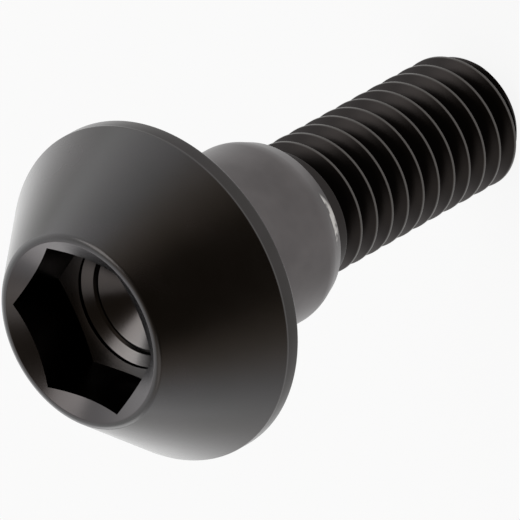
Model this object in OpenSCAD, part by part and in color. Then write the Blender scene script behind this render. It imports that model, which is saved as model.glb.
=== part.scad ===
// Brake disc screw: a turned M6 x 20 shoulder screw with a wide conical head and a hex socket.
// It stands on its thread end: Z = 0 is the end face, and the head is on top.

/* [Head] */
// Largest diameter, at the rim of the head
head_d = 14.3; // [12:0.1:18]
// Height of the head, from its seat to its front
head_h = 5; // [4.6:0.1:7]
// Height of the straight rim below the cone
rim_h = 0.7; // [0.5:0.1:1.5]
// Diameter at the front of the cone, where it meets the lip
lip_d = 8.2; // [8:0.1:9]
// Rounding of the rim's two edges
rim_round = 0.12; // [0.04:0.02:0.2]
// Rounding of the lip
lip_round = 0.3; // [0.1:0.05:0.3]

/* [Socket] */
// Width across the flats of the hex socket
hex_af = 6.25; // [5:0.05:6.3]
// Depth of the hex flats below the front
hex_depth = 3.1; // [2.5:0.1:4]
// Diameter of the countersink at the socket's mouth
mouth_d = 7.7; // [7.4:0.1:7.8]
// Full angle of the countersink
mouth_angle = 120; // [90:5:140]
// Diameter of the hole that was drilled before the hex was broached
drill_d = 5.6; // [4:0.1:6.2]
// Depth of the drilled hole below the end of the flats
drill_extra = 0.3; // [0.2:0.1:1]
// Point angle of the drill
drill_angle = 118; // [110:1:140]

/* [Shank] */
// Length from the head's seat to the thread end
shank_l = 20; // [16:0.5:40]
// Diameter of the plain shoulder that centres the disc
shoulder_d = 7.9; // [7:0.1:9]
// Length of the shoulder below the head
shoulder_l = 7; // [4:0.5:8]
// How far the shoulder tapers in at its free end
taper_in = 0.35; // [0.1:0.05:0.5]
// Length of that taper
taper_l = 0.9; // [0.5:0.1:1.5]
// Rounding between the shoulder and the taper
taper_round = 1.5; // [0.5:0.1:2]
// Fillet between the shoulder and the head's seat
seat_fillet = 0.3; // [0.1:0.05:0.4]

/* [Thread] */
// Major diameter of the thread as cut, a little under its nominal 6
thread_d = 5.9; // [5.8:0.05:6]
// Pitch of the right-hand thread
pitch = 1; // [0.75:0.05:1]
// Chamfer that leads the thread end into its hole
end_chamfer = 0.65; // [0.5:0.05:0.8]
// Angle round the axis where the thread starts
thread_start = 152; // [0:1:359]

/* [Hidden] */

$fn = 96;
black_steel = [0.16, 0.15, 0.15];
// Chords in each rounded edge of the turned outline
round_steps = 5;
// Room that a cut runs past the face it opens
past = 1;
// How far the threaded shank reaches up into the shoulder
overlap = 0.5;

// Heights along the axis
seat_z = shank_l;
front_z = seat_z + head_h;
shoulder_z = seat_z - shoulder_l;
thread_top = shoulder_z + overlap;

// Metric thread section: crest flat of an eighth of the pitch and 60 degree flanks
thread_depth = 0.6134 * pitch;
end_r = thread_d / 2 - end_chamfer;
crest_w = pitch / 8;
flank_w = thread_depth * tan(30);
root_w = pitch - crest_w - 2 * flank_w;
// Each row of the section: how far along the pitch it lies, and its share of the thread depth
section = [[0, 0], [root_w, 0], [root_w + flank_w, 1], [root_w + flank_w + crest_w, 1]];
rows = len(section);

// The helix: steps in one turn, where its first turn starts, and the full turns that fit below the shoulder
steps = 40;
first_z = pitch / 20;
turns = floor((thread_top - 2 * first_z) / pitch) - 1;
last = rows * turns;
// Shares of a turn over which the ridge rises at the thread's start and the groove runs out at its top
rise = 1 / 8;
run_out = 2 / 5;

function unit(v) = v / norm(v);

// Points of the arc that rounds corner b, between its neighbours a and c, to radius b[2]
function corner_arc(a, b, c) =
    let (p = [b[0], b[1]])
    let (u = unit([a[0], a[1]] - p))
    let (v = unit([c[0], c[1]] - p))
    let (half = acos(u * v) / 2)
    let (centre = p + unit(u + v) * b[2] / sin(half))
    let (from = p + u * b[2] / tan(half) - centre)
    let (to = p + v * b[2] / tan(half) - centre)
    let (angle = atan2(from[1], from[0]))
    let (sweep = (atan2(to[1], to[0]) - angle + 540) % 360 - 180)
    [for (i = [0:round_steps])
        centre + b[2] * [cos(angle + sweep * i / round_steps), sin(angle + sweep * i / round_steps)]];

// An outline of [radius, height, rounding] corners with its rounded corners worked out
function rounded(outline) =
    let (n = len(outline))
    [for (i = [0:n - 1])
        each outline[i][2] == 0
            ? [[outline[i][0], outline[i][1]]]
            : corner_arc(outline[(i + n - 1) % n], outline[i], outline[(i + 1) % n])];

// Half section of the turned blank, from the end of the shoulder up to the front of the head
blank_outline = [
    [0, shoulder_z, 0],
    [shoulder_d / 2 - taper_in, shoulder_z, 0],
    [shoulder_d / 2, shoulder_z + taper_l, taper_round],
    [shoulder_d / 2, seat_z, seat_fillet],
    [head_d / 2, seat_z, rim_round],
    [head_d / 2, seat_z + rim_h, rim_round],
    [lip_d / 2, front_z, lip_round],
    [0, front_z, 0]
];

module blank() {
    rotate_extrude() polygon(rounded(blank_outline));
}

// Countersunk mouth, broached hex and the drilled hole below it
module socket() {
    drill_z = front_z - hex_depth - drill_extra;
    point_h = drill_d / 2 / tan(drill_angle / 2);
    mouth_h = mouth_d / 2 / tan(mouth_angle / 2);
    mouth_slope = tan(mouth_angle / 2);
    translate([0, 0, front_z - mouth_h])
        cylinder(r1 = 0, r2 = mouth_d / 2 + past * mouth_slope, h = mouth_h + past);
    translate([0, 0, front_z - hex_depth])
        cylinder(d = hex_af / cos(30), h = hex_depth + past, $fn = 6);
    translate([0, 0, drill_z])
        cylinder(d = drill_d, h = hex_depth + drill_extra);
    translate([0, 0, drill_z - point_h])
        cylinder(r1 = 0, r2 = drill_d / 2, h = point_h);
}

// Height of row k in column j of the helix
function row_z(k, j) = first_z + section[k % rows][0] + pitch * (floor(k / rows) + j / steps);

// How far along the thread row k lies in column j, in turns
function turn_at(k, j) = floor(k / rows) + j / steps;

// Shares of the ridge's height at the thread's start and of the groove's depth at its run-out
function ridge_share(turn) = min(1, turn / rise);
function groove_share(turn) = max(0, min(1, (turns - turn) / run_out));

// Depth of row k in column j below the crest
function row_depth(k, j) =
    thread_depth * (1 - section[k % rows][1] * ridge_share(turn_at(k, j))) * groove_share(turn_at(k, j));

// Radius of row k in column j, which the end chamfer limits
function row_r(k, j) = min(thread_d / 2 - row_depth(k, j), end_r + row_z(k, j));

function on_helix(k, j) =
    [row_r(k, j) * cos(360 * j / steps), row_r(k, j) * sin(360 * j / steps), row_z(k, j)];

function ring(r, z) = [for (j = [0:steps - 1]) [r * cos(360 * j / steps), r * sin(360 * j / steps), z]];

// Numbers of the points: the two end rings, then column 0, which also closes the last column a turn higher
function end_id(j) = j % steps;
function top_id(j) = steps + j % steps;
function helix_id(k, j) =
    j == 0 ? 2 * steps + k
    : j == steps ? 2 * steps + k + rows
    : 2 * steps + last + rows + 1 + (j - 1) * (last + 1) + k;

// The threaded shank with its core: strips along the helix between two flat end rings, plain where it has run out
module thread() {
    points = concat(
        ring(end_r, 0),
        ring(thread_d / 2, thread_top),
        [for (k = [0:last + rows]) on_helix(k, 0)],
        [for (j = [1:steps - 1]) for (k = [0:last]) on_helix(k, j)]
    );
    strips = [for (j = [0:steps - 1]) for (k = [0:last - 1]) each [
        [helix_id(k, j), helix_id(k + 1, j), helix_id(k + 1, j + 1)],
        [helix_id(k, j), helix_id(k + 1, j + 1), helix_id(k, j + 1)]
    ]];
    end_skirt = [for (j = [0:steps - 1]) each [
        [end_id(j), helix_id(0, j), end_id(j + 1)],
        if (j < steps - 1) [end_id(j + 1), helix_id(0, j), helix_id(0, j + 1)]
    ]];
    top_skirt = [for (j = [0:steps - 1]) each [
        [top_id(j), top_id(j + 1), helix_id(last, j + 1)],
        if (j > 0) [top_id(j), helix_id(last, j + 1), helix_id(last, j)]
    ]];
    // The step where each skirt meets its own start again, one turn along
    end_seam = [
        [end_id(0), helix_id(0, steps - 1), helix_id(0, 0)],
        for (k = [0:rows - 1]) [helix_id(k, 0), helix_id(0, steps - 1), helix_id(k + 1, 0)]
    ];
    top_seam = [
        [top_id(0), helix_id(last, 1), helix_id(last + rows, 0)],
        for (k = [last:last + rows - 1]) [helix_id(k + 1, 0), helix_id(last, 1), helix_id(k, 0)]
    ];
    end_face = [[for (j = [0:steps - 1]) end_id(j)]];
    top_face = [[for (j = [steps - 1:-1:0]) top_id(j)]];
    rotate([0, 0, thread_start])
        polyhedron(points, concat(strips, end_skirt, top_skirt, end_seam, top_seam, end_face, top_face));
}

module disc_screw() {
    color(black_steel) {
        difference() {
            blank();
            socket();
        }
        thread();
    }
}

disc_screw();
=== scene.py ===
import math

import bmesh
import bpy
from mathutils import Matrix, Vector


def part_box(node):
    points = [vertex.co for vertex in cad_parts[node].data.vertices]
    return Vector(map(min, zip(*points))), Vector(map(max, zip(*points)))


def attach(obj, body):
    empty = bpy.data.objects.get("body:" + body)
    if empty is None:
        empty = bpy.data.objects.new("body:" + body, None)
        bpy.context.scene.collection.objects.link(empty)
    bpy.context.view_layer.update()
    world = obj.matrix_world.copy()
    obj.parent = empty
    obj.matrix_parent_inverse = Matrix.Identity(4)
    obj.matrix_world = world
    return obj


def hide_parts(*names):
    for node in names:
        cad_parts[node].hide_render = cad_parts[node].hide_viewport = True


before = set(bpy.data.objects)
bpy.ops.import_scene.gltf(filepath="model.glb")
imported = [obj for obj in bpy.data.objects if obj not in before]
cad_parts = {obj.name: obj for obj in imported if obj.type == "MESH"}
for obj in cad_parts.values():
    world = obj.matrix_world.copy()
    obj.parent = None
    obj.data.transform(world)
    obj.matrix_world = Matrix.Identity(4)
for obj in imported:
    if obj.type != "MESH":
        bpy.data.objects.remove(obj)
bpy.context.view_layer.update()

# Head and shoulder, in millimetres from the thread end upwards
MM = 0.001
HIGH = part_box("disc_screw")[1]
FRONT_Z = HIGH.z / MM
HEAD_R = HIGH.x / MM
HEAD_H = 5.0
SEAT_Z = FRONT_Z - HEAD_H
SEAT_FILLET = 0.3
RIM_H = 0.7
RIM_ROUND = 0.12
LIP_R = 4.1
LIP_ROUND = 0.3
SHOULDER_R = 3.95
SHOULDER_L = 7.0
SHOULDER_Z = SEAT_Z - SHOULDER_L
TAPER_IN = 0.35
TAPER_L = 0.9
TAPER_ROUND = 1.5
TAPER_END_ROUND = 0.06

# Hex socket: a countersunk mouth, broached flats with a sloping ledge at their foot, and the drilled hole
HEX_APOTHEM = 3.125
HEX_SIDES = 6
HEX_DEPTH = 3.1
MOUTH_R = 3.85
MOUTH_ROUND = 0.08
MOUTH_ANGLE = math.radians(120)
MOUTH_SLOPE = math.tan(MOUTH_ANGLE / 2)
FLAT_TOP_Z = FRONT_Z - (MOUTH_R - HEX_APOTHEM) / MOUTH_SLOPE
FLAT_FOOT_Z = FRONT_Z - HEX_DEPTH
LEDGE_DROP = 0.12
LEDGE_SLOPE = 0.3
DRILL_R = 2.8
DRILL_EXTRA = 0.3
DRILL_Z = FLAT_FOOT_Z - DRILL_EXTRA
DRILL_ANGLE = math.radians(118)
DRILL_SLOPE = math.tan(DRILL_ANGLE / 2)
POINT_Z = DRILL_Z - DRILL_R / DRILL_SLOPE
POINT_RING_R = 0.2
GROOVE_R = 2.3
GROOVE_W = 0.09
GROOVE_DEPTH = 0.05

# Metric thread, whose section follows from its pitch, and the plain neck that joins it to the shoulder
PITCH = 1.0
THREAD_R = 2.95
THREAD_ANGLE = math.radians(60)
THREAD_DEPTH = 0.6134 * PITCH
CREST_W = PITCH / 8
FLANK_W = THREAD_DEPTH * math.tan(THREAD_ANGLE / 2)
ROOT_W = PITCH - CREST_W - 2 * FLANK_W
ROOT_ROUND = 0.09
CREST_ROUND = 0.04
THREAD_START = math.radians(152)
FIRST_Z = PITCH / 20
END_CHAMFER = 0.65
END_R = THREAD_R - END_CHAMFER
TURNS = 12
SPARE_TURNS = 2
RUN_OUT = 0.4
NECK_L = 0.15
NECK_FILLET = 0.05
NECK_Z = SHOULDER_Z - NECK_L
JOIN_GAP = 0.02

# How finely the round surfaces are divided, and the angle from which an edge looks sharp
TURN_STEPS = 192
ROUND_STEPS = 7
FLANK_CUTS = 3
SHARP = math.radians(16)
# Points are merged within the first distance, in metres, and found again within the second, in millimetres
MERGE = 1e-7
NEAR = 0.001

# Finish, in millimetres: sizes of its patterns, and how far its zones reach, most of them just past an edge
CLOUD_SIZE = 2.5
RING_GAP = 0.08
RING_DEPTH = 0.004
# How far below the thread's top the crests' painted highlight reaches
CREST_LIGHT_DEPTH = 0.03
# How far below the shoulder the neck's painted shade reaches before the thread's colours begin
DARK_NECK_L = 1.3
PAST_EDGE = 0.05
PAST_SHOULDER = 0.02
# Along X, where the socket bottom's painted highlight starts and where it is strongest
SOCKET_HIGHLIGHT_FROM_X = 0.5
SOCKET_HIGHLIGHT_TO_X = -2.5
# Shares: how far a socket wall's normal may point up, where the hex's bottom starts, and how strong that
# bottom's painted highlight is
WALL_UP = 0.3
BOTTOM_SHARE = 0.8
SOCKET_HIGHLIGHT_SHARE = 0.12
# The oil film on the cone, and the roughness of the dry satin coat and of the oil
OIL_SHARE = 0.8
SATIN_ROUGHNESS = 0.34
OIL_ROUGHNESS = 0.2

# The painted highlight on the shoulder's end, a bare-steel patch: its place round the axis and along it, how
# far out it sets in, its grain
SHOULDER_HIGHLIGHT_ANGLE = math.radians(-95)
SHOULDER_HIGHLIGHT_Z = SHOULDER_Z + 0.2
SHOULDER_HIGHLIGHT_HALF_H = 0.22
SHOULDER_HIGHLIGHT_FROM_R = 3.57
SHOULDER_HIGHLIGHT_FULL_R = 3.63
SHOULDER_HIGHLIGHT_GRAIN = 0.5

# The photo's camera: its angles, then its distance, aim and lens in millimetres
CAMERA_AZIMUTH = math.radians(-80.63)
CAMERA_ELEVATION = math.radians(43.24)
CAMERA_ROLL = math.radians(119.2)
CAMERA_DISTANCE = 435.5
CAMERA_AIM = Vector((-0.10, -5.36, 19.46))
CAMERA_LENS = 761.0

# Light, in metres: the white floor, the surround's dark side, turned from the camera, and the soft boxes
FLOOR_HALF = 3.0
WHITE_SHARE = 0.9
DARK_TURN = math.radians(-16)
DARK_ELEVATION = math.radians(50)
BOX_DISTANCE = 1.1
BOX_WIDTH = 0.5
# Turn from the camera and elevation in degrees, then radiance
SOFT_BOXES = ((90, 57, 1.7), (-95, 54, 0.45), (-146, 18, 0.9))


def linear(code):
    """The linear colour of an sRGB hex code."""
    shares = [int(code[i:i + 2], 16) / 255 for i in (0, 2, 4)]
    return tuple(s / 12.92 if s <= 0.04045 else ((s + 0.055) / 1.055) ** 2.4 for s in shares) + (1.0,)


def direction(azimuth, elevation):
    """The unit vector at an azimuth round Z and an elevation above the floor."""
    level = math.cos(elevation)
    return Vector((level * math.cos(azimuth), level * math.sin(azimuth), math.sin(elevation)))


def add_node(tree, kind, settings=None, **inputs):
    """Adds a node with its settings; an input is a value, or a socket to link from."""
    node = tree.nodes.new(kind)
    for name, value in (settings or {}).items():
        setattr(node, name, value)
    for name, value in inputs.items():
        key = int(name[3:]) if name.startswith("in_") else name.replace("_", " ")
        socket = node.inputs[key]
        if isinstance(value, bpy.types.NodeSocket):
            tree.links.new(value, socket)
        else:
            socket.default_value = value
    return node


def outline(bm, corners):
    """A chain of loose edges through (radius, height, rounding) corners, all in millimetres."""
    points = [Vector((r * MM, 0, z * MM)) for r, z, _ in corners]
    verts = [bm.verts.new(p) for p in points]
    for pair in zip(verts, verts[1:]):
        bm.edges.new(pair)
    for i, (_, _, rounding) in enumerate(corners):
        if rounding == 0:
            continue
        back = points[i - 1] - points[i]
        ahead = points[i + 1] - points[i]
        offset = rounding * MM / math.tan(back.angle(ahead) / 2)
        bmesh.ops.bevel(bm, geom=[verts[i]], offset=offset, offset_type="OFFSET", segments=ROUND_STEPS,
                        profile=0.5, affect="VERTICES", material=-1)
    return [e for e in bm.edges if e.is_wire]


def hex_radius(angle):
    """Distance from the axis to the hex wall in a direction; a corner lies at angle 0."""
    sector = 2 * math.pi / HEX_SIDES
    return HEX_APOTHEM / math.cos(angle % sector - sector / 2)


def groove_share(point):
    """Share of the groove's depth that is left at a point of the thread, which runs out into the plain neck.

    The count of turns steps up at the middle of a crest, where the depth is nothing and the step can't show.
    """
    ahead = (math.atan2(point.y, point.x) - THREAD_START) % (2 * math.pi) / (2 * math.pi)
    crest_to_root = 0.5 - 0.5 * ROOT_W / PITCH
    whole = math.floor((point.z / MM - FIRST_Z) / PITCH - ahead + crest_to_root)
    share = min(1.0, max(0.0, (TURNS - whole - ahead) / RUN_OUT))
    return share * share * (3 - 2 * share)


def thread_surface():
    """The threaded shank: one turn swept up its helix, repeated, run out, and cut at both ends."""
    bm = bmesh.new()
    root_r = THREAD_R - THREAD_DEPTH
    low_z = FIRST_Z - SPARE_TURNS * PITCH
    section = outline(bm, [
        (root_r, low_z, 0),
        (root_r, low_z + ROOT_W, ROOT_ROUND),
        (THREAD_R, low_z + ROOT_W + FLANK_W, CREST_ROUND),
        (THREAD_R, low_z + ROOT_W + FLANK_W + CREST_W, CREST_ROUND),
        (root_r, low_z + PITCH, 0),
    ])
    # The long edges of the section are its two flanks
    flanks = [e for e in section if e.calc_length() > 0.5 * FLANK_W * MM]
    bmesh.ops.subdivide_edges(bm, edges=flanks, cuts=FLANK_CUTS)
    bmesh.ops.rotate(bm, verts=bm.verts, cent=(0, 0, 0), matrix=Matrix.Rotation(THREAD_START, 3, "Z"))
    bmesh.ops.spin(bm, geom=[*bm.verts, *bm.edges], cent=(0, 0, 0), axis=(0, 0, 1),
                   dvec=(0, 0, PITCH * MM / TURN_STEPS), angle=2 * math.pi, steps=TURN_STEPS)
    one_turn = [*bm.verts, *bm.edges, *bm.faces]
    for turn in range(1, TURNS + 2 * SPARE_TURNS):
        copy = bmesh.ops.duplicate(bm, geom=one_turn)["geom"]
        bmesh.ops.translate(bm, vec=(0, 0, turn * PITCH * MM),
                            verts=[g for g in copy if isinstance(g, bmesh.types.BMVert)])
    bmesh.ops.remove_doubles(bm, verts=bm.verts, dist=MERGE)
    for v in bm.verts:
        radius = math.hypot(v.co.x, v.co.y)
        kept = THREAD_R - (THREAD_R - radius / MM) * groove_share(v.co)
        kept = min(kept, END_R + v.co.z / MM)
        v.co.x *= kept * MM / radius
        v.co.y *= kept * MM / radius
    for height, side in ((0, "clear_inner"), (NECK_Z, "clear_outer")):
        everything = [*bm.verts, *bm.edges, *bm.faces]
        bmesh.ops.bisect_plane(bm, geom=everything, dist=MERGE, plane_co=(0, 0, height * MM),
                               plane_no=(0, 0, 1), **{side: True})
    end_loop = [e for e in bm.edges if e.is_boundary and all(abs(v.co.z) < MERGE for v in e.verts)]
    bmesh.ops.edgeloop_fill(bm, edges=end_loop)
    return bm


def turned_blank():
    """Plain neck, shoulder, head and the round hole of the socket, spun from one outline."""
    bm = bmesh.new()
    groove_z = DRILL_Z - (DRILL_R - GROOVE_R) / DRILL_SLOPE
    outline(bm, [
        (THREAD_R, NECK_Z + JOIN_GAP, 0),
        (THREAD_R, SHOULDER_Z, NECK_FILLET),
        (SHOULDER_R - TAPER_IN, SHOULDER_Z, TAPER_END_ROUND),
        (SHOULDER_R, SHOULDER_Z + TAPER_L, TAPER_ROUND),
        (SHOULDER_R, SEAT_Z, SEAT_FILLET),
        (HEAD_R, SEAT_Z, RIM_ROUND),
        (HEAD_R, SEAT_Z + RIM_H, RIM_ROUND),
        (LIP_R, FRONT_Z, LIP_ROUND),
        (MOUTH_R, FRONT_Z, MOUTH_ROUND),
        (HEX_APOTHEM, FLAT_TOP_Z, 0),
        (HEX_APOTHEM, FLAT_FOOT_Z, 0),
        (DRILL_R, FLAT_FOOT_Z - LEDGE_DROP, 0),
        (DRILL_R, DRILL_Z, 0),
        (GROOVE_R + GROOVE_W, groove_z + GROOVE_W / DRILL_SLOPE, 0),
        (GROOVE_R, groove_z - GROOVE_DEPTH, 0),
        (GROOVE_R - GROOVE_W, groove_z - GROOVE_W / DRILL_SLOPE, 0),
        (POINT_RING_R, POINT_Z + POINT_RING_R / DRILL_SLOPE, 0),
        (0, POINT_Z, 0),
    ])
    bmesh.ops.spin(bm, geom=[*bm.verts, *bm.edges], cent=(0, 0, 0), axis=(0, 0, 1), angle=2 * math.pi,
                   steps=TURN_STEPS, use_merge=True)
    bmesh.ops.remove_doubles(bm, verts=bm.verts, dist=MERGE)
    return bm


def broach_hex(bm):
    """Pushes the round socket wall out to the flats, its top up the countersink and its foot up the ledge."""
    for v in bm.verts:
        if abs(math.hypot(v.co.x, v.co.y) / MM - HEX_APOTHEM) > NEAR:
            continue
        angle = math.atan2(v.co.y, v.co.x)
        wall = hex_radius(angle)
        if abs(v.co.z / MM - FLAT_TOP_Z) < NEAR:
            height = FRONT_Z - (MOUTH_R - wall) / MOUTH_SLOPE
        elif abs(v.co.z / MM - FLAT_FOOT_Z) < NEAR:
            height = FLAT_FOOT_Z + (wall - HEX_APOTHEM) * LEDGE_SLOPE
        else:
            continue
        v.co = (wall * MM * math.cos(angle), wall * MM * math.sin(angle), height * MM)


def screw_mesh():
    """The whole screw as one closed mesh: the turned and broached blank joined to its thread at the neck."""
    mesh = bpy.data.meshes.new("black_screw")
    bm = turned_blank()
    broach_hex(bm)
    thread = thread_surface()
    thread.to_mesh(mesh)
    thread.free()
    bm.from_mesh(mesh)
    bmesh.ops.bridge_loops(bm, edges=[e for e in bm.edges if e.is_boundary])
    bmesh.ops.remove_doubles(bm, verts=bm.verts, dist=MERGE)
    bmesh.ops.dissolve_degenerate(bm, edges=bm.edges, dist=MERGE)
    bmesh.ops.recalc_face_normals(bm, faces=bm.faces)
    for face in bm.faces:
        face.smooth = True
    for edge in bm.edges:
        edge.smooth = len(edge.link_faces) == 2 and edge.calc_face_angle() < SHARP
    bm.to_mesh(mesh)
    bm.free()
    return mesh


def black_oxide_steel():
    """Turned steel with a black oxide coat: near-black, semi-gloss, with cloudy patches and turning rings.

    Painted light is coloured in: bare-steel patches on the shoulder's end and towards -X at the socket's
    bottom, and lighter thread crests, are painted highlights; near-black socket walls, neck and thread
    grooves are painted shade.
    A Mix node of colours has them at its inputs 6 and 7, and their mixture at its output 2.
    """
    material = bpy.data.materials.new("black_oxide_steel")
    material.use_nodes = True
    tree = material.node_tree
    tree.nodes.clear()

    # Where a point of the surface lies: its height above the thread end and its distance from the axis
    place = add_node(tree, "ShaderNodeTexCoord")
    here = place.outputs["Object"]
    split = add_node(tree, "ShaderNodeSeparateXYZ", in_0=here)
    height = split.outputs["Z"]
    flat = add_node(tree, "ShaderNodeVectorMath", {"operation": "MULTIPLY"}, in_0=here, in_1=(1, 1, 0))
    distance = add_node(tree, "ShaderNodeVectorMath", {"operation": "LENGTH"}, in_0=flat.outputs[0])
    radius = distance.outputs["Value"]

    # Clouds of the oxide bath, a few millimetres across: they keep the dark cone from looking like plastic
    clouds = add_node(tree, "ShaderNodeTexNoise", Vector=here, Scale=1 / (CLOUD_SIZE * MM),
                      Detail=3.0, Roughness=0.55)
    cloud = clouds.outputs["Fac"]
    coat = add_node(tree, "ShaderNodeMix", {"data_type": "RGBA"}, in_0=cloud,
                    in_6=linear("383835"), in_7=linear("454142"))
    gloss = add_node(tree, "ShaderNodeMapRange", Value=cloud,
                     From_Min=0.3, From_Max=0.7, To_Min=0.2, To_Max=0.28)

    # Turning rings: the same all round, so they follow radius and height alone
    ring_place = add_node(tree, "ShaderNodeCombineXYZ", X=radius, Y=height)
    rings = add_node(tree, "ShaderNodeTexNoise", Vector=ring_place.outputs[0], Scale=1 / (RING_GAP * MM),
                     Detail=2.0)
    bump = add_node(tree, "ShaderNodeBump", Height=rings.outputs["Fac"], Strength=0.15,
                    Distance=RING_DEPTH * MM)

    # Below the head the coat is dry satin: a lighter shoulder; the neck just under the shoulder, coloured
    # near-black as painted shade; and a thread coloured darker in its grooves as painted shade and lighter on
    # its crests as painted highlight
    below = add_node(tree, "ShaderNodeMath", {"operation": "LESS_THAN"},
                     in_0=height, in_1=(SEAT_Z - PAST_EDGE) * MM)
    neck = add_node(tree, "ShaderNodeMath", {"operation": "LESS_THAN"},
                    in_0=height, in_1=(SHOULDER_Z - PAST_SHOULDER) * MM)
    cut = add_node(tree, "ShaderNodeMath", {"operation": "LESS_THAN"},
                   in_0=height, in_1=(SHOULDER_Z - DARK_NECK_L) * MM)
    # Painted shade and highlight: the thread is coloured near-black in its grooves and lighter on its crests
    crest = add_node(tree, "ShaderNodeMapRange", Value=radius,
                     From_Min=(THREAD_R - CREST_LIGHT_DEPTH) * MM, From_Max=THREAD_R * MM)
    thread = add_node(tree, "ShaderNodeMix", {"data_type": "RGBA"}, in_0=crest.outputs[0],
                      in_6=linear("322f2e"), in_7=linear("565351"))
    satin_coat = add_node(tree, "ShaderNodeMix", {"data_type": "RGBA"}, in_0=cloud,
                          in_6=linear("474444"), in_7=linear("6c6868"))
    shoulder = add_node(tree, "ShaderNodeMix", {"data_type": "RGBA"}, in_0=below.outputs[0],
                        in_6=coat.outputs[2], in_7=satin_coat.outputs[2])
    # Painted shade: the neck just under the shoulder is coloured near-black
    with_neck_shade = add_node(tree, "ShaderNodeMix", {"data_type": "RGBA"}, in_0=neck.outputs[0],
                      in_6=shoulder.outputs[2], in_7=linear("2e2b2a"))
    turned = add_node(tree, "ShaderNodeMix", {"data_type": "RGBA"}, in_0=cut.outputs[0],
                      in_6=with_neck_shade.outputs[2], in_7=thread.outputs[2])

    # The socket: its steep walls are coloured near-black as painted shade, and its bottom is lightened
    # towards bare steel as a painted highlight
    facing = add_node(tree, "ShaderNodeSeparateXYZ", in_0=place.outputs["Normal"])
    steep = add_node(tree, "ShaderNodeMath", {"operation": "LESS_THAN"},
                     in_0=facing.outputs["Z"], in_1=WALL_UP)
    inside = add_node(tree, "ShaderNodeMath", {"operation": "LESS_THAN"},
                      in_0=radius, in_1=(MOUTH_R + PAST_EDGE) * MM)
    above_point = add_node(tree, "ShaderNodeMath", {"operation": "GREATER_THAN"},
                           in_0=height, in_1=(POINT_Z - PAST_EDGE) * MM)
    socket = add_node(tree, "ShaderNodeMath", {"operation": "MULTIPLY"},
                      in_0=inside.outputs[0], in_1=above_point.outputs[0])
    walls = add_node(tree, "ShaderNodeMath", {"operation": "MULTIPLY"},
                     in_0=socket.outputs[0], in_1=steep.outputs[0])
    mouth = add_node(tree, "ShaderNodeMix", {"data_type": "RGBA"}, in_0=socket.outputs[0],
                     in_6=turned.outputs[2], in_7=linear("555252"))
    # Painted shade: the socket's steep walls are coloured near-black
    black = add_node(tree, "ShaderNodeMix", {"data_type": "RGBA"}, in_0=walls.outputs[0],
                     in_6=mouth.outputs[2], in_7=linear("1d1b1a"))
    # Painted highlight: the socket's bottom is lightened towards bare steel, smoothly stronger towards -X
    deep = add_node(tree, "ShaderNodeMath", {"operation": "LESS_THAN"},
                    in_0=height, in_1=(FRONT_Z - BOTTOM_SHARE * HEX_DEPTH) * MM)
    low = add_node(tree, "ShaderNodeMath", {"operation": "MULTIPLY"},
                   in_0=socket.outputs[0], in_1=deep.outputs[0])
    bottom = add_node(tree, "ShaderNodeMath", {"operation": "SUBTRACT"},
                      in_0=low.outputs[0], in_1=walls.outputs[0])
    across = add_node(tree, "ShaderNodeMapRange", Value=split.outputs["X"], From_Min=SOCKET_HIGHLIGHT_FROM_X * MM,
                      From_Max=SOCKET_HIGHLIGHT_TO_X * MM, To_Max=SOCKET_HIGHLIGHT_SHARE)
    socket_highlight = add_node(tree, "ShaderNodeMath", {"operation": "MULTIPLY", "use_clamp": True},
                       in_0=bottom.outputs[0], in_1=across.outputs[0])

    # Painted highlight: a bare-steel patch about 1.5 mm long on the shoulder's end, set where a highlight
    # falls
    highlight_noise = add_node(tree, "ShaderNodeTexNoise", Vector=here, Scale=1 / (SHOULDER_HIGHLIGHT_GRAIN * MM), Detail=2.0)
    highlight_grain = add_node(tree, "ShaderNodeMapRange", Value=highlight_noise.outputs["Fac"], From_Min=0.35, From_Max=0.5)
    outwards = add_node(tree, "ShaderNodeVectorMath", {"operation": "DOT_PRODUCT"},
                        in_0=here, in_1=direction(SHOULDER_HIGHLIGHT_ANGLE, 0))
    near = add_node(tree, "ShaderNodeMapRange", Value=outwards.outputs["Value"],
                    From_Min=SHOULDER_HIGHLIGHT_FROM_R * MM, From_Max=SHOULDER_HIGHLIGHT_FULL_R * MM)
    edge = add_node(tree, "ShaderNodeMath", {"operation": "COMPARE"},
                    in_0=height, in_1=SHOULDER_HIGHLIGHT_Z * MM, in_2=SHOULDER_HIGHLIGHT_HALF_H * MM)
    at_edge = add_node(tree, "ShaderNodeMath", {"operation": "MULTIPLY"},
                       in_0=near.outputs[0], in_1=edge.outputs[0])
    shoulder_highlight = add_node(tree, "ShaderNodeMath", {"operation": "MULTIPLY"},
                     in_0=highlight_grain.outputs[0], in_1=at_edge.outputs[0])
    painted_highlights = add_node(tree, "ShaderNodeMath", {"operation": "MAXIMUM"},
                    in_0=shoulder_highlight.outputs[0], in_1=socket_highlight.outputs[0])
    # Both bare-steel patches, on the shoulder's end and at the socket's bottom, are painted highlights
    colour = add_node(tree, "ShaderNodeMix", {"data_type": "RGBA"}, in_0=painted_highlights.outputs[0],
                      in_6=black.outputs[2], in_7=linear("c9c6c2"))

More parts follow.
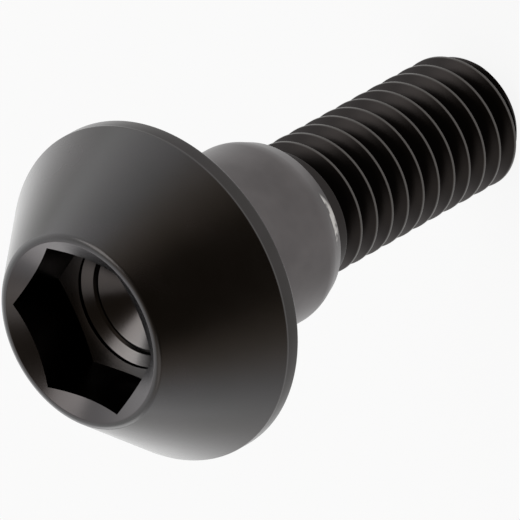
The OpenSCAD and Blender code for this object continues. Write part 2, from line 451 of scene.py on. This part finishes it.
    # The burnished cone keeps a film of oil, which shines most where it is seen at a slant; the rest is dry
    under_cone = add_node(tree, "ShaderNodeMath", {"operation": "LESS_THAN"},
                          in_0=height, in_1=(SEAT_Z + RIM_H - PAST_EDGE) * MM)
    dry = add_node(tree, "ShaderNodeMath", {"operation": "MAXIMUM"},
                   in_0=under_cone.outputs[0], in_1=socket.outputs[0])
    oil = add_node(tree, "ShaderNodeMapRange", Value=dry.outputs[0], To_Min=OIL_SHARE, To_Max=0.0)
    satin = add_node(tree, "ShaderNodeMath", {"operation": "MULTIPLY"},
                     in_0=below.outputs[0], in_1=SATIN_ROUGHNESS)
    rough = add_node(tree, "ShaderNodeMath", {"operation": "MAXIMUM"},
                     in_0=gloss.outputs[0], in_1=satin.outputs[0])
    shader = add_node(tree, "ShaderNodeBsdfPrincipled", Base_Color=colour.outputs[2],
                      Roughness=rough.outputs[0], Normal=bump.outputs[0], Coat_Weight=oil.outputs[0])
    shader.inputs["Metallic"].default_value = 1.0
    shader.inputs["Coat Roughness"].default_value = OIL_ROUGHNESS
    add_node(tree, "ShaderNodeOutputMaterial", Surface=shader.outputs[0])
    return material


def pale_floor():
    """White paper under the screw. Seen or mirrored it is mostly plain white, and it keeps a soft shadow."""
    mesh = bpy.data.meshes.new("floor")
    bm = bmesh.new()
    bmesh.ops.create_grid(bm, x_segments=1, y_segments=1, size=FLOOR_HALF)
    bm.to_mesh(mesh)
    bm.free()
    floor = bpy.data.objects.new("floor", mesh)
    bpy.context.scene.collection.objects.link(floor)
    material = bpy.data.materials.new("white_paper")
    material.use_nodes = True
    tree = material.node_tree
    tree.nodes.clear()
    paper = add_node(tree, "ShaderNodeBsdfDiffuse")
    paper.inputs["Color"].default_value = linear("f6f6f6")
    white = add_node(tree, "ShaderNodeEmission")
    path = add_node(tree, "ShaderNodeLightPath")
    mirrored = add_node(tree, "ShaderNodeMath", {"operation": "MAXIMUM"},
                        in_0=path.outputs["Is Glossy Ray"], in_1=path.outputs["Is Transmission Ray"])
    seen = add_node(tree, "ShaderNodeMath", {"operation": "MAXIMUM"},
                    in_0=path.outputs["Is Camera Ray"], in_1=mirrored.outputs[0])
    share = add_node(tree, "ShaderNodeMath", {"operation": "MULTIPLY"},
                     in_0=seen.outputs[0], in_1=WHITE_SHARE)
    mix = add_node(tree, "ShaderNodeMixShader", in_0=share.outputs[0],
                   in_1=paper.outputs[0], in_2=white.outputs[0])
    add_node(tree, "ShaderNodeOutputMaterial", Surface=mix.outputs[0])
    mesh.materials.append(material)


def photo_camera():
    """A distant camera that looks down on the head, rolled so that the standing screw lies in the picture."""
    data = bpy.data.cameras.new("camera")
    data.lens = CAMERA_LENS
    camera = bpy.data.objects.new("camera", data)
    bpy.context.scene.collection.objects.link(camera)
    towards = direction(CAMERA_AZIMUTH, CAMERA_ELEVATION)
    turn = towards.to_track_quat("Z", "Y").to_matrix() @ Matrix.Rotation(-CAMERA_ROLL, 3, "Z")
    place = (CAMERA_AIM + towards * CAMERA_DISTANCE) * MM
    camera.matrix_world = Matrix.Translation(place) @ turn.to_4x4()
    bpy.context.scene.camera = camera


def studio_light():
    """A white surround, which is dim and warm on the camera's side, and three soft boxes round the screw."""
    world = bpy.data.worlds.new("studio")
    bpy.context.scene.world = world
    world.use_nodes = True
    tree = world.node_tree
    tree.nodes.clear()
    # The cosine of the angle to the dark side sets both the level and the tint
    place = add_node(tree, "ShaderNodeTexCoord")
    facing = add_node(tree, "ShaderNodeVectorMath", {"operation": "DOT_PRODUCT"},
                      in_0=place.outputs["Generated"],
                      in_1=direction(CAMERA_AZIMUTH + DARK_TURN, DARK_ELEVATION))
    level = add_node(tree, "ShaderNodeMapRange", Value=facing.outputs["Value"],
                     From_Min=0.86, From_Max=-0.25, To_Min=0.05, To_Max=1.46)
    tint = add_node(tree, "ShaderNodeMapRange", Value=facing.outputs["Value"], From_Min=0.9, From_Max=0.3)
    colour = add_node(tree, "ShaderNodeMix", {"data_type": "RGBA"}, in_0=tint.outputs[0],
                      in_6=linear("ffe3c4"), in_7=linear("fbfdff"))
    back = add_node(tree, "ShaderNodeBackground", Color=colour.outputs[2], Strength=level.outputs[0])
    add_node(tree, "ShaderNodeOutputWorld", Surface=back.outputs[0])
    for turn, elevation, radiance in SOFT_BOXES:
        data = bpy.data.lights.new("soft_box", "AREA")
        data.size = BOX_WIDTH
        # A flat lamp's power is its radiance times pi times its area
        data.energy = radiance * math.pi * BOX_WIDTH ** 2
        lamp = bpy.data.objects.new("soft_box", data)
        lamp.location = BOX_DISTANCE * direction(CAMERA_AZIMUTH + math.radians(turn), math.radians(elevation))
        lamp.rotation_mode = "QUATERNION"
        lamp.rotation_quaternion = lamp.location.to_track_quat("Z", "Y")
        bpy.context.scene.collection.objects.link(lamp)


screw = bpy.data.objects.new("black_screw", screw_mesh())
bpy.context.scene.collection.objects.link(screw)
screw.data.materials.append(black_oxide_steel())
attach(screw, "root")
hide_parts("disc_screw")

pale_floor()
photo_camera()
studio_light()
bpy.context.scene.view_settings.view_transform = "Standard"
